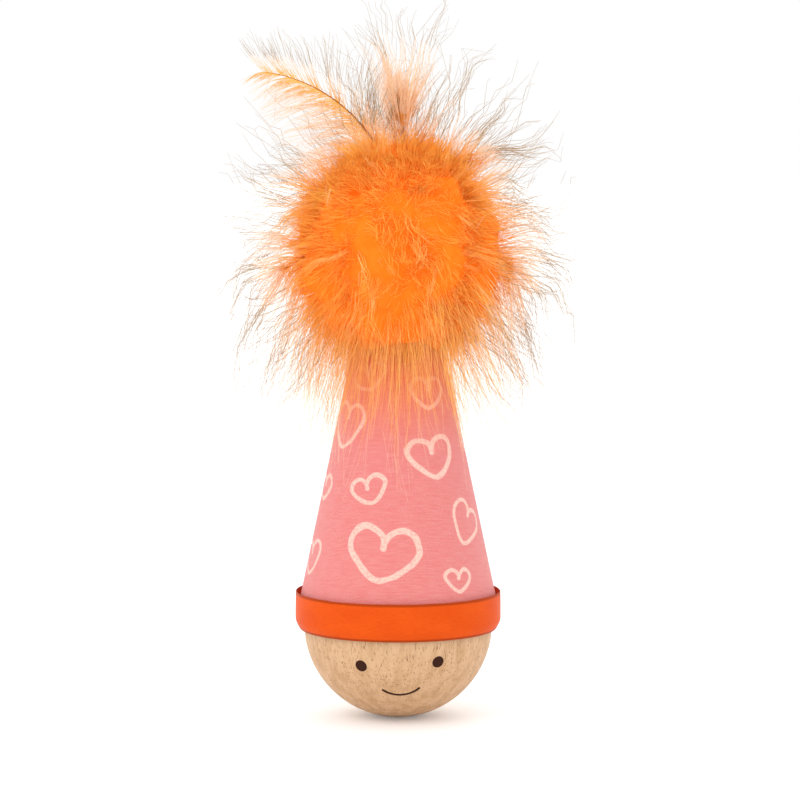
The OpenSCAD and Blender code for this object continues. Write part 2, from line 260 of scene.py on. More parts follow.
# Weight, its lid and the cone's paperboard
# Hidden in the finished toy: a turned steel slug glued low in the ball, a thin wooden disc over it,
# and the rolled and glued paperboard cone, with its grey fibres.
def metal(name, colour, roughness, lathe_step):
    """Metal with fine turning lines a step apart, in mm."""
    material, tree, shader = new_material(name)
    patch = noise_value(tree, object_place(tree, (0.8, 0.8, 0.8)), detail=3)
    lines = noise_value(tree, object_place(tree, (0.02, 0.02, 1 / lathe_step)))
    shader.inputs["Metallic"].default_value = 1.0
    shader.inputs["Base Color"].default_value = linear(colour)
    tree.links.new(
        ramp(tree, patch, 0.3, 0.7, roughness, roughness + 0.15), shader.inputs["Roughness"]
    )
    bump(tree, shader, lines, 0.00002)
    return material


def fibrous(name, pale, dark, size, roughness, depth):
    """Paper, thread or other fibrous stuff, with marks of a size in mm along each direction."""
    material, tree, shader = new_material(name)
    fibres = noise_value(tree, object_place(tree, [1 / s for s in size]), detail=4)
    colour = mix_colours(tree, ramp(tree, fibres, 0.35, 0.65), pale, dark)
    tree.links.new(colour, shader.inputs["Base Color"])
    shader.inputs["Roughness"].default_value = roughness
    bump(tree, shader, fibres, depth)
    return material


dress("ballast_weight", metal("turned_steel", "#8c8d8f", 0.35, 0.3))
dress("ballast_lid", turned_wood("raw_plywood", "#cba97c", "#b8935f", "#8f6a3f", (0.5, 6.0), 0.7))
dress("cone_core", fibrous("paperboard", "#d6cab4", "#b9aa90", (0.3, 0.3, 0.3), 0.9, 0.00005))


# Cone cover
# One piece of fine plain-weave cotton, cut as a sector of a ring, wrapped tight round the paperboard
# and lapped and glued at the back, with its hem drawn in under the ribbon. The print is hearts in
# cream outline, brushed by hand in many sizes and scattered at random on coral pink.
CONE_Z = 0.0294  # lower edge of the cone
TIP_Z = 0.1219  # its upper edge
CONE_R = 0.0266  # outside of the cloth at the lower edge
TIP_R = 0.0071  # and at the upper edge
CLOTH_SLOPE = (CONE_R - TIP_R) / (TIP_Z - CONE_Z)
CLOTH_T = 0.0003  # thickness of the cloth
HEM_Z = CONE_Z - 0.0025  # lower edge of the hem
HEM_R = 0.02535  # outside of the cloth there
HALF_ANGLE = math.atan(CLOTH_SLOPE)
APEX_Z = CONE_Z + CONE_R / CLOTH_SLOPE
COVER_LAP = 12  # degrees that the cloth overlaps itself
AROUND = 300  # columns of faces in a full turn of a sheet
LAP_RISE = 4  # degrees over which a sheet's end climbs onto its start
LAP_LIFT = 1.02  # height of that climb, in thicknesses of the sheet
EDGE_ROW = 0.0001  # an extra row of points lies this close to each edge, for its rounding
CLOTH_ROWS = 76


def wrapped_sheet(name, profile, lap, thick, waver, flat_place):
    """A closed thin sheet wound once round the axis from the back, with its end lapped over its start.
    profile is a list of (radius of the inner side, height), and lap an angle in degrees."""
    span = 360.0 + lap
    columns = round(AROUND * span / 360)
    mesh = bmesh.new()
    place_layer = mesh.verts.layers.float_vector.new("flat_place")
    grid = []
    for i in range(columns + 1):
        angle = -lap / 2 + span * i / columns
        over = max(0.0, min(1.0, (angle - (360 - lap / 2 - LAP_RISE)) / LAP_RISE))
        lift = (thick * LAP_LIFT) * over * over * (3 - 2 * over)
        heading = math.radians(90 + angle)
        column = []
        for layer in (0, 1):
            side = []
            for j, (radius, height) in enumerate(profile):
                share = j / (len(profile) - 1)
                edge = min(share, 1 - share) * (len(profile) - 1)
                rounding = 0.5 if edge < 0.5 else 1.0
                middle = radius + thick / 2 + lift
                offset = (layer - 0.5) * thick * rounding
                dr, dz = waver(math.radians(angle), height, share)
                r, z = middle + offset + dr, height + dz
                vert = mesh.verts.new((r * math.cos(heading), r * math.sin(heading), z))
                vert[place_layer] = flat_place(math.radians(angle - 180), r, z)
                side.append(vert)
            column.append(side)
        grid.append(column)
    rows = len(profile)
    for i in range(columns):
        a, b = grid[i], grid[i + 1]
        for j in range(rows - 1):
            mesh.faces.new((a[0][j], b[0][j], b[0][j + 1], a[0][j + 1]))
            mesh.faces.new((a[1][j], a[1][j + 1], b[1][j + 1], b[1][j]))
        mesh.faces.new((a[0][0], a[1][0], b[1][0], b[0][0]))
        mesh.faces.new((a[0][-1], b[0][-1], b[1][-1], a[1][-1]))
    for column in (grid[0], grid[-1]):
        for j in range(rows - 1):
            mesh.faces.new((column[0][j], column[0][j + 1], column[1][j + 1], column[1][j]))
    bmesh.ops.recalc_face_normals(mesh, faces=mesh.faces)
    data = bpy.data.meshes.new(name)
    mesh.to_mesh(data)
    mesh.free()
    data.polygons.foreach_set("use_smooth", [True] * len(data.polygons))
    piece = bpy.data.objects.new(name, data)
    bpy.context.scene.collection.objects.link(piece)
    return piece


def cloth_inner_radius(z):
    """Inside of the cloth: on the paperboard, and drawn in below it to the hem."""
    if z < CONE_Z:
        return HEM_R - CLOTH_T + (CONE_R - HEM_R) * (z - HEM_Z) / (CONE_Z - HEM_Z)
    return CONE_R - CLOTH_SLOPE * (z - CONE_Z) - CLOTH_T


def cloth_waver(angle, z, share):
    """Small pulls in the stretched cloth, stronger towards its two edges, in metres."""
    at = Vector((math.cos(angle) * 3, math.sin(angle) * 3, z * 60))
    loose = 0.35 + 0.65 * max(0.0, 1 - min(share, 1 - share) * 12)
    return 0.00006 * loose * noise.noise(at), 0.0


def cloth_flat(angle, r, z):
    """Where a point of the cone lies on the cloth before it was wrapped, in millimetres."""
    slant = (APEX_Z - z) / math.cos(HALF_ANGLE) * MM
    turn = angle * math.sin(HALF_ANGLE)
    return Vector((slant * math.sin(turn), -slant * math.cos(turn), 0))


heights = [HEM_Z + (TIP_Z - HEM_Z) * k / CLOTH_ROWS for k in range(CLOTH_ROWS + 1)]
heights = sorted(heights + [CONE_Z, HEM_Z + EDGE_ROW, TIP_Z - EDGE_ROW])
cover = wrapped_sheet(
    "cotton_cover",
    [(cloth_inner_radius(z), z) for z in heights],
    COVER_LAP,
    CLOTH_T,
    cloth_waver,
    cloth_flat,
)


def add_inputs(tree, names_by_kind):
    """Gives a node group its inputs."""
    for kind, names in names_by_kind.items():
        for name in names:
            tree.interface.new_socket(name, in_out="INPUT", socket_type=f"NodeSocket{kind}")


def printed_heart():
    """A brushed outline of a heart: two round lobes that touch in a deep notch, where the brush goes
    on a little way down, and full sides that run into a rounded tip."""
    tree = bpy.data.node_groups.new("printed_heart", "ShaderNodeTree")
    add_inputs(tree, {"Vector": ("Place", "Middle", "Half size"), "Float": ("Turn", "Stroke")})
    tree.interface.new_socket("Ink", in_out="OUTPUT", socket_type="NodeSocketFloat")
    given = tree.nodes.new("NodeGroupInput").outputs
    result = tree.nodes.new("NodeGroupOutput")

    maths = maths_in(tree)
    fullness = 1.45  # 1 gives straight sides and a sharp tip, 2 a half ellipse
    tail_share = 0.12  # how far the brush goes on below the notch, in radii of a lobe
    inner_fade, outer_fade = 0.16, 0.2  # softness of the stroke's edge, in mm
    away = add_node(
        tree, "ShaderNodeVectorMath", {0: given["Place"], 1: given["Middle"]}, operation="SUBTRACT"
    )
    turned = add_node(
        tree,
        "ShaderNodeVectorRotate",
        {"Vector": away.outputs[0], "Angle": given["Turn"]},
        rotation_type="Z_AXIS",
    )
    at = add_node(tree, "ShaderNodeSeparateXYZ", {0: turned.outputs[0]}).outputs
    half = add_node(tree, "ShaderNodeSeparateXYZ", {0: given["Half size"]}).outputs
    out = maths("ABSOLUTE", at["X"])
    lobe_r = maths("MULTIPLY", half["X"], 0.5)
    above_notch = maths("ADD", maths("SUBTRACT", at["Y"], half["Y"]), lobe_r)
    below_notch = maths("MAXIMUM", maths("MULTIPLY", above_notch, -1.0), 0.0)
    depth = maths("SUBTRACT", maths("MULTIPLY", half["Y"], 2.0), lobe_r)

    def length(x, y):
        return maths("SQRT", maths("ADD", maths("MULTIPLY", x, x), maths("MULTIPLY", y, y)))

    from_lobe = maths(
        "ABSOLUTE", maths("SUBTRACT", length(maths("SUBTRACT", out, lobe_r), above_notch), lobe_r)
    )
    across, down = maths("DIVIDE", out, half["X"]), maths("DIVIDE", below_notch, depth)
    form = maths("ADD", maths("POWER", across, fullness), maths("POWER", down, fullness))
    steep = length(
        maths("DIVIDE", maths("POWER", across, fullness - 1), half["X"]),
        maths("DIVIDE", maths("POWER", down, fullness - 1), depth),
    )
    steep = maths("MULTIPLY", maths("MAXIMUM", steep, 0.0001), fullness)
    from_side = maths("DIVIDE", maths("ABSOLUTE", maths("SUBTRACT", form, 1.0)), steep)
    tail = maths("MULTIPLY", lobe_r, tail_share)
    past_tail = maths("MAXIMUM", maths("SUBTRACT", below_notch, tail), 0.0)
    from_side = maths("MINIMUM", from_side, length(out, past_tail))
    on_lobe = maths("GREATER_THAN", above_notch, 0.0)
    distance = maths("MULTIPLY_ADD", maths("SUBTRACT", from_lobe, from_side), on_lobe, from_side)
    edge = maths("MULTIPLY", given["Stroke"], 0.5)
    ink = add_node(
        tree,
        "ShaderNodeMapRange",
        {
            "Value": distance,
            "From Min": maths("SUBTRACT", edge, inner_fade),
            "From Max": maths("ADD", edge, outer_fade),
            "To Min": 1.0,
            "To Max": 0.0,
        },
        interpolation_type="SMOOTHSTEP",
    )
    tree.links.new(ink.outputs["Result"], result.inputs["Ink"])
    return tree


# Each heart on the front, in mm and degrees: middle (x, y) on the flat cloth, width, height, turn, stroke
HEARTS = [
    (-4.0, -111.7, 20.6, 15.2, 9, 1.55),
    (9.5, -86.2, 14.2, 11.6, -15, 1.3),
    (-8.0, -94.7, 10.6, 7.8, -12, 1.1),
    (-15.8, -77.1, 13.2, 12.6, 12, 1.1),
    (-8.1, -65.0, 11.0, 7.6, -10, 1.0),
    (8.2, -69.3, 11.0, 9.0, -4, 1.1),
    (20.9, -102.8, 12.4, 11.8, 20, 1.1),
    (-26.0, -92.3, 9.8, 7.4, 6, 1.0),
    (-30.5, -110.4, 12.0, 9.6, 5, 1.0),
    (17.2, -117.9, 9.2, 6.8, -6, 1.0),
    (-0.5, -53.7, 11.2, 6.4, 3, 1.0),
]
# The others are thrown at random where there is room, on the sides and at the back
scatter = random.Random(11)
THROWS = 4000
SECTOR = math.radians(188) * math.sin(HALF_ANGLE)  # half the flat cloth, and a little over its edge
FRONT = math.radians(88) * math.sin(HALF_ANGLE)
HEART_GAP = 2.2
for _ in range(THROWS):
    slant, turn = scatter.uniform(46, 122), scatter.uniform(-SECTOR, SECTOR)
    x, y = slant * math.sin(turn), -slant * math.cos(turn)
    width = scatter.choice([9, 10, 11, 12, 14, 19])
    clear = all(math.hypot(x - h[0], y - h[1]) > HEART_GAP + (width + h[2]) / 2 for h in HEARTS)
    if clear and abs(turn) > FRONT:
        tall = width * scatter.uniform(0.72, 0.9)
        lean = math.degrees(turn) + scatter.uniform(-22, 22)
        HEARTS.append((x, y, width, tall, lean, 1.0 + width / 36))

cotton, cotton_tree, cotton_shader = new_material("printed_cotton")
flat = add_node(cotton_tree, "ShaderNodeAttribute", attribute_name="flat_place").outputs["Vector"]
shake = add_node(
    cotton_tree, "ShaderNodeTexNoise", {"Vector": flat, "Scale": 0.16, "Detail": 1.0}
).outputs["Color"]
shake = add_node(
    cotton_tree, "ShaderNodeVectorMath", {0: shake, 1: (0.5, 0.5, 0.5)}, operation="SUBTRACT"
).outputs[0]
shaken = add_node(
    cotton_tree,
    "ShaderNodeVectorMath",
    {0: shake, 1: (1.5, 1.5, 0), 2: flat},
    operation="MULTIPLY_ADD",
).outputs[0]
heart_tree = printed_heart()
cotton_maths = maths_in(cotton_tree)
ink = None
for x, y, width, tall, turn, stroke in HEARTS:
    heart = add_node(cotton_tree, "ShaderNodeGroup", node_tree=heart_tree)
    cotton_tree.links.new(shaken, heart.inputs["Place"])
    heart.inputs["Middle"].default_value = (x, y, 0)
    heart.inputs["Half size"].default_value = ((width - stroke) / 2, (tall - stroke) / 2, 0)
    heart.inputs["Turn"].default_value = math.radians(turn)
    heart.inputs["Stroke"].default_value = stroke
    ink = heart.outputs[0] if ink is None else cotton_maths("MAXIMUM", ink, heart.outputs[0])
THREAD = 0.42  # spacing of the threads, in mm
flat_parts = add_node(cotton_tree, "ShaderNodeSeparateXYZ", {0: flat}).outputs
warp_wave, weft_wave = (
    cotton_maths("SINE", cotton_maths("MULTIPLY", flat_parts[axis], math.pi / THREAD)) for axis in "XY"
)
weave = cotton_maths("MULTIPLY", warp_wave, weft_wave)
slubs = noise_value(cotton_tree, scaled_place(cotton_tree, flat, (0.25, 2.4, 1)), detail=2)
cloth_colour = mix_colours(cotton_tree, ramp(cotton_tree, slubs, 0.3, 0.7), "#e98f8c", "#e5817e")
cloth_colour = mix_colours(
    cotton_tree, ramp(cotton_tree, weave, -1, 1, 0, 0.16), cloth_colour, "#c2605c"
)
dry_brush = ramp(cotton_tree, noise_value(cotton_tree, flat, 1.3, 3), 0.3, 0.6, 0.55, 0.95)
ink = cotton_maths("MULTIPLY", ink, dry_brush)
printed = mix_colours(cotton_tree, ink, cloth_colour, "#f7cdbd")
# Towards the tip the cloth shades into orange, hearts and all: painted light, the orange glow that the down
# throws onto the cone
GLOW_PAINT_FROM, GLOW_PAINT_TO = 88, 58  # distances from the cone's apex along the cloth, in mm
from_apex = add_node(cotton_tree, "ShaderNodeVectorMath", {0: flat}, operation="LENGTH")
painted_glow_share = ramp(cotton_tree, from_apex.outputs["Value"], GLOW_PAINT_FROM, GLOW_PAINT_TO, 0, 0.75)
cotton_tree.links.new(
    mix_colours(cotton_tree, painted_glow_share, printed, "#f0823c"), cotton_shader.inputs["Base Color"]
)
cotton_shader.inputs["Roughness"].default_value = 0.85
cotton_shader.inputs["Specular IOR Level"].default_value = 0.25
cotton_shader.inputs["Sheen Weight"].default_value = 0.25
cotton_shader.inputs["Sheen Roughness"].default_value = 0.5
bump(cotton_tree, cotton_shader, weave, 0.00005)
cover.data.materials.append(cotton)
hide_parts("cone_cover")
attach(cover, "root")


# Ribbon
# A stock 10 mm satin ribbon, glued round the joint of cone and ball. Its lower edge is drawn in
# towards the ball, its upper edge stands a little proud of the cone, and its end is lapped at the back.
RIBBON_Z = 0.0237  # lower edge
RIBBON_W = 0.01
RIBBON_T = 0.00025  # thickness
RIBBON_R = 0.02695  # inside
TUCK_H = 0.0026  # height of the part that is drawn in
TUCK = 0.0011  # how far the lower edge is drawn in
RIBBON_LAP = 24  # degrees that the ribbon overlaps itself
RIBBON_ROWS = 24


def ribbon_inner_radius(height):
    drawn = max(0.0, 1 - height / TUCK_H)
    return RIBBON_R - TUCK * drawn**1.4


def ribbon_waver(angle, z, share):
    """The ribbon's two edges wander a little, and its middle stands off the joint behind it."""
    at = Vector((math.cos(angle) * 1.6, math.sin(angle) * 1.6, 0.3))
    edge = 2 * share - 1
    rise = 0.00012 * noise.noise(at) + 0.00005 * noise.noise(at * 4)
    proud = 0.0001 * (1 - edge * edge) + 0.00006 * noise.noise(at * 2.5 + Vector((0, 0, share * 2)))
    return proud, rise * (0.6 + 0.4 * edge)


ribbon_heights = [RIBBON_W * k / RIBBON_ROWS for k in range(RIBBON_ROWS + 1)]
ribbon_heights = sorted(ribbon_heights + [EDGE_ROW, RIBBON_W - EDGE_ROW])
ribbon = wrapped_sheet(
    "satin_band",
    [(ribbon_inner_radius(h), RIBBON_Z + h) for h in ribbon_heights],
    RIBBON_LAP,
    RIBBON_T,
    ribbon_waver,
    lambda angle, r, z: Vector((angle * RIBBON_R * MM, (z - RIBBON_Z) * MM, 0)),
)
satin, satin_tree, satin_shader = new_material("orange_satin")
band = add_node(satin_tree, "ShaderNodeAttribute", attribute_name="flat_place").outputs["Vector"]
satin_maths = maths_in(satin_tree)
floats = noise_value(satin_tree, scaled_place(satin_tree, band, (0.5, 5.5, 1)), detail=2)
grain = noise_value(satin_tree, scaled_place(satin_tree, band, (2.6, 2.6, 1)), detail=1)
patches = noise_value(satin_tree, scaled_place(satin_tree, band, (0.09, 0.2, 1)), detail=1)
satin_colour = mix_colours(satin_tree, ramp(satin_tree, patches, 0.2, 0.8), "#e15212", "#e95a16")
satin_colour = mix_colours(satin_tree, ramp(satin_tree, floats, 0.4, 0.75, 0, 0.5), satin_colour, "#cf470c")
up_band = add_node(satin_tree, "ShaderNodeSeparateXYZ", {0: band}).outputs["Y"]
off_middle = satin_maths("ABSOLUTE", satin_maths("SUBTRACT", up_band, RIBBON_W * MM / 2))
# Both edges of the ribbon are darkened towards deep red: painted shade along its edges
painted_edge_shade = ramp(satin_tree, off_middle, 4.1, 4.6, 0, 0.75)
satin_colour = mix_colours(satin_tree, painted_edge_shade, satin_colour, "#9c360c")
satin_tree.links.new(satin_colour, satin_shader.inputs["Base Color"])
satin_tree.links.new(ramp(satin_tree, grain, 0.3, 0.7, 0.36, 0.52), satin_shader.inputs["Roughness"])
satin_shader.inputs["Specular IOR Level"].default_value = 0.05
bump(satin_tree, satin_shader, satin_maths("ADD", floats, grain), 0.00005)
ribbon.data.materials.append(satin)
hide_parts("ribbon_band")
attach(ribbon, "root")


# Tip, binding and bell
# Hidden in the finished toy: the wooden plug in the cone's tip, the bound and glued quill ends,
# and under the plug a plated wire eye and link that carry a small brass jingle bell.
dress("tip_plug", turned_wood("plug_wood", "#c69d68", "#b0854f", "#8a6236", (0.5, 3.0), 0.7))
dress("stem_binding", fibrous("waxed_thread", "#9a5a2e", "#7c4220", (3.0, 3.0, 0.25), 0.6, 0.0001))
plated = metal("plated_wire", "#bfc0c2", 0.22, 0.5)
for node in ("bell_eye", "bell_link"):
    dress(node, plated)
brass = metal("bell_brass", "#d4a855", 0.22, 0.4)
for node in ("bell_upper_shell", "bell_lower_shell"):
    dress(node, brass)
dress("bell_pellet", metal("bright_steel", "#7a7b7d", 0.25, 0.6))


# Feathers
# Soft marabou feathers, dyed orange, with their quills bound together in the plug. Each quill carries
# long fluffy barbs that gather in locks: orange at the root, paler further out, tan at their tips.
NOD_Z = 0.1259  # height of the point that all the feathers spread from
ROOT_R = 0.0028  # how far from it the quills start
QUILL_R = 0.0004
QUILL_STEPS = 40
QUILL_TAPER = 0.85  # share of its thickness that a quill loses towards its end
BARB_TAPER = 0.65
STRAY = 0.06  # how far each barb strays from its lock, as a share of its length
TUFT_REACH = (0.0545, 0.048, 1.0)  # how far the longest barbs reach to the sides and front
CURL_FROM, CURL_OVER = 0.7, 0.3  # shares of that reach: where barbs curl in, and over how much
TUFT_TOP = 0.1925
TOP_EASE = 0.01  # height under the top over which barbs curl in
OFF_CLOTH = 0.0005  # how far hanging barbs stand off the cloth
EASE_OFF = 0.0015  # height over the cone's tip in which they begin to be pushed off


def down_material(name, pale, dark):
    """Dyed down: the colour of one stretch of a barb, a little uneven from barb to barb."""
    material, tree, shader = new_material(name)
    patch = noise_value(tree, object_place(tree, (0.35, 0.35, 0.35)), detail=2)
    colour = mix_colours(tree, ramp(tree, patch, 0.3, 0.7), pale, dark)
    tree.links.new(colour, shader.inputs["Base Color"])
    shader.inputs["Roughness"].default_value = 0.9
    shader.inputs["Specular IOR Level"].default_value = 0.1
    return material


down_root = down_material("down_orange", "#ffba56", "#ffb04a")
down_middle = down_material("down_amber", "#ffc274", "#ffb864")
down_outer = down_material("down_peach", "#ffdcb8", "#fbcfa8")
down_tip = down_material("down_undyed_tip", "#c0a27a", "#a68862")
quill_horn = down_material("quill_horn", "#e8a26a", "#d08850")
DOWN = [down_root, down_middle, down_outer, down_tip]


def barb_group():
    """Grows barbs along a quill: thin closed three-sided tubes that taper. They stand in locks, whose
    barbs start apart and gather at the tip. Lengths are in metres and angles in radians."""
    tree = bpy.data.node_groups.new("feather_barbs", "GeometryNodeTree")
    floats = ["Gather", "Apart", "Stand off", "Side", "Spread", "Flatness", "Crowding"]
    floats += ["Root angle", "Tip angle", "Short", "Long", "Wispiness", "Tip share", "Bend", "Droop"]
    floats += ["Ruffle", "Thickness", "From middle", "Amber from", "Peach from", "Tan from"]
    whole = ["Locks", "Barbs", "Seed", "Points"]
    add_inputs(tree, {"Geometry": ["Quill"], "Int": whole, "Vector": ["Across"], "Float": floats})
    tree.interface.new_socket("Feather", in_out="OUTPUT", socket_type="NodeSocketGeometry")
    given = tree.nodes.new("NodeGroupInput").outputs
    result = tree.nodes.new("NodeGroupOutput")

    maths = maths_in(tree)

    def made(kind, inputs=None, **settings):
        """Adds a node and returns its first output."""
        return add_node(tree, kind, inputs, **settings).outputs[0]

    def vectors(operation, *values, out=0):
        return add_node(
            tree, "ShaderNodeVectorMath", dict(enumerate(values)), operation=operation
        ).outputs[out]

    def scaled(vector, factor):
        return made("ShaderNodeVectorMath", {0: vector, "Scale": factor}, operation="SCALE")

    def mixed(first, second, share):
        return vectors("ADD", first, scaled(vectors("SUBTRACT", second, first), share))

    barb = made("GeometryNodeInputIndex")
    lock = maths("FLOOR", maths("DIVIDE", barb, given["Barbs"]))

    def chance(step, low=0.0, high=1.0, each=lock):
        """A random number for each lock, or for each barb."""
        return add_node(
            tree,
            "FunctionNodeRandomValue",
            {2: low, 3: high, "ID": each, "Seed": maths("ADD", given["Seed"], step)},
            data_type="FLOAT",
        ).outputs[1]

    def apart(step, amount):
        """A random number around nought for each barb, wider where the barbs start further apart."""
        return maths("MULTIPLY", chance(step, -amount, amount, each=barb), given["Apart"])

    def between(low, high, share):
        return maths("MULTIPLY_ADD", maths("SUBTRACT", high, low), share, low)

    def stored(geometry, name, kind, value):
        inputs = {"Geometry": geometry, "Name": name, "Value": value}
        return made("GeometryNodeStoreNamedAttribute", inputs, data_type=kind, domain="POINT")

    def named(name, kind):
        return made("GeometryNodeInputNamedAttribute", {"Name": name}, data_type=kind)

    quill = made("GeometryNodeMeshToCurve", {0: given["Quill"]})
    count = maths("MULTIPLY", given["Locks"], given["Barbs"])
    points = made("GeometryNodePoints", {"Count": count})

    def start_and_way(share, turn, lean):
        """Where a barb leaves the quill, the quill's way there, and the barb's own way."""
        sample = add_node(
            tree, "GeometryNodeSampleCurve", {"Curves": quill, "Factor": share}, mode="FACTOR"
        )
        forward = vectors("NORMALIZE", sample.outputs["Tangent"])
        upright = vectors("NORMALIZE", vectors("CROSS_PRODUCT", forward, given["Across"]))
        theta = maths("MULTIPLY_ADD", chance(1, -1.0, 1.0), given["Spread"], turn)
        theta = maths("ADD", theta, given["Side"])
        over = scaled(upright, maths("MULTIPLY", maths("SINE", theta), given["Flatness"]))
        sideways = vectors("ADD", scaled(given["Across"], maths("COSINE", theta)), over)
        beta = between(given["Root angle"], given["Tip angle"], share)
        beta = maths("ADD", maths("ADD", beta, chance(2, -0.2, 0.2)), lean)
        way = vectors(
            "ADD",
            scaled(forward, maths("COSINE", beta)),
            scaled(vectors("NORMALIZE", sideways), maths("SINE", beta)),
        )
        base = vectors("ADD", sample.outputs["Position"], scaled(way, given["Stand off"]))
        return base, forward, way

    lock_share = maths("POWER", chance(0), given["Crowding"])
    own_share = maths("MINIMUM", maths("MAXIMUM", maths("ADD", lock_share, apart(5, 0.08)), 0.0), 1.0)
    lock_base, forward, lock_way = start_and_way(lock_share, 0.0, 0.0)
    own_base, forward, own_way = start_and_way(own_share, apart(6, 0.5), apart(7, 0.3))
    length = between(given["Short"], given["Long"], maths("POWER", chance(3), given["Wispiness"]))
    length = maths("MULTIPLY", length, between(1.0, given["Tip share"], lock_share))
    length = maths("MULTIPLY", length, chance(8, 0.7, 1.0, each=barb))
    stray = made(
        "FunctionNodeRandomValue",
        {0: (-1, -1, -1), 1: (1, 1, 1), "ID": barb, "Seed": maths("ADD", given["Seed"], 4)},
        data_type="FLOAT_VECTOR",
    )
    points = stored(points, "barb_length", "FLOAT", length)
    for name, vector in (
        ("barb_base", own_base),
        ("barb_way", own_way),
        ("barb_lock_base", lock_base),
        ("barb_lock_way", lock_way),
        ("barb_lean", forward),
        ("barb_stray", stray),
    ):
        points = stored(points, name, "FLOAT_VECTOR", vector)
    line = made("GeometryNodeCurvePrimitiveLine")
    line = made("GeometryNodeResampleCurve", {"Curve": line, "Count": given["Points"]})
    barbs = made("GeometryNodeInstanceOnPoints", {"Points": points, "Instance": line})
    barbs = made("GeometryNodeRealizeInstances", {0: barbs})
    u = add_node(tree, "GeometryNodeSplineParameter").outputs["Factor"]
    reach = maths("MULTIPLY", named("barb_length", "FLOAT"), u)
    curved = maths("MULTIPLY", reach, u)
    own, shared = (
        vectors("ADD", named(base, "FLOAT_VECTOR"), scaled(named(way, "FLOAT_VECTOR"), reach))
        for base, way in (("barb_base", "barb_way"), ("barb_lock_base", "barb_lock_way"))
    )
    straight = mixed(own, shared, maths("MULTIPLY", given["Gather"], u))
    ruffle = add_node(
        tree,
        "ShaderNodeTexNoise",
        {"Vector": straight, "Scale": 90.0, "Detail": 1.0, "Roughness": 0.5},
    ).outputs["Color"]
    ruffle = vectors("SUBTRACT", ruffle, (0.5, 0.5, 0.5))
    place = straight
    for vector, amount in (
        (ruffle, maths("MULTIPLY", curved, given["Ruffle"])),
        (named("barb_lean", "FLOAT_VECTOR"), maths("MULTIPLY", curved, given["Bend"])),
        ((0.0, 0.0, -1.0), maths("MULTIPLY", curved, given["Droop"])),
        (named("barb_stray", "FLOAT_VECTOR"), maths("MULTIPLY", curved, STRAY)),
    ):
        place = vectors("ADD", place, scaled(vector, amount))
    # Beyond a good way out, the barbs curl in more and more, so that none passes the tuft's reach
    wide = vectors("DIVIDE", place, TUFT_REACH)
    out = vectors("LENGTH", vectors("MULTIPLY", wide, (1.0, 1.0, 0.0)), out=1)
    beyond = maths("DIVIDE", maths("SUBTRACT", out, CURL_FROM), CURL_OVER)
    beyond = maths("MAXIMUM", 0.0, beyond)
    eased = maths("SUBTRACT", 1.0, maths("EXPONENT", maths("MULTIPLY", beyond, -1.0)))
    kept = maths("MULTIPLY_ADD", eased, CURL_OVER, maths("MINIMUM", out, CURL_FROM))
    drawn_in = maths("DIVIDE", kept, maths("MAXIMUM", out, 0.001))
    at = add_node(tree, "ShaderNodeSeparateXYZ", {0: place}).outputs
    above = maths("MAXIMUM", 0.0, maths("SUBTRACT", at["Z"], TUFT_TOP - TOP_EASE))
    eased = maths("SUBTRACT", 1.0, maths("EXPONENT", maths("DIVIDE", above, -TOP_EASE)))
    high = maths("MULTIPLY_ADD", eased, TOP_EASE, maths("MINIMUM", at["Z"], TUFT_TOP - TOP_EASE))
    # Those that hang below the cone's tip lie on the cloth and not inside the cone
    across, deep = (maths("MULTIPLY", at[axis], drawn_in) for axis in "XY")
    flat_way = made("ShaderNodeCombineXYZ", {"X": across, "Y": deep})
    radius = maths("MAXIMUM", vectors("LENGTH", flat_way, out=1), 0.000001)
    cone = maths("MULTIPLY_ADD", maths("SUBTRACT", CONE_Z, high), CLOTH_SLOPE, CONE_R + OFF_CLOTH)
    below_tip = maths("MULTIPLY", maths("SUBTRACT", TIP_Z + EASE_OFF, high), 1 / EASE_OFF)
    below_tip = maths("MINIMUM", maths("MAXIMUM", below_tip, 0.0), 1.0)
    pushed = maths("DIVIDE", maths("MAXIMUM", radius, maths("MULTIPLY", cone, below_tip)), radius)
    across, deep = maths("MULTIPLY", across, pushed), maths("MULTIPLY", deep, pushed)
    place = made("ShaderNodeCombineXYZ", {"X": across, "Y": deep, "Z": high})
    barbs = made("GeometryNodeSetPosition", {"Geometry": barbs, "Position": place})
    away = vectors("LENGTH", vectors("SUBTRACT", place, (0.0, 0.0, NOD_Z)), out=1)
    barbs = stored(barbs, "barb_reach", "FLOAT", between(reach, away, given["From middle"]))
    three = made("GeometryNodeCurvePrimitiveCircle", {"Resolution": 3, "Radius": 1.0})
    taper = maths("SUBTRACT", 1.0, maths("MULTIPLY", u, BARB_TAPER))
    size = maths("MULTIPLY", given["Thickness"], taper)
    barbs = made(
        "GeometryNodeCurveToMesh",
        {"Curve": barbs, "Profile Curve": three, "Scale": size, "Fill Caps": True},
    )
    along = named("barb_reach", "FLOAT")
    starts = (-1.0, given["Amber from"], given["Peach from"], given["Tan from"])
    for start, material in zip(starts, DOWN):
        ends = {0: along, 1: start}
        past = made("FunctionNodeCompare", ends, data_type="FLOAT", operation="GREATER_EQUAL")
        barbs = made(
            "GeometryNodeSetMaterial", {"Geometry": barbs, "Selection": past, "Material": material}
        )
    eight = made("GeometryNodeCurvePrimitiveCircle", {"Resolution": 8, "Radius": QUILL_R})
    size = maths("SUBTRACT", 1.0, maths("MULTIPLY", u, QUILL_TAPER))
    rib = made(
        "GeometryNodeCurveToMesh",
        {"Curve": quill, "Profile Curve": eight, "Scale": size, "Fill Caps": True},
    )
    rib = made("GeometryNodeSetMaterial", {"Geometry": rib, "Material": quill_horn})
    both = add_node(tree, "GeometryNodeJoinGeometry")
    tree.links.new(barbs, both.inputs[0])
    tree.links.new(rib, both.inputs[0])
    # Smooth shading on tubes as thin as these would lose the light that reaches them from behind
    plain = made(
        "GeometryNodeSetShadeSmooth", {"Geometry": both.outputs[0], "Shade Smooth": False}
    )
    tree.links.new(plain, result.inputs[0])
    return tree


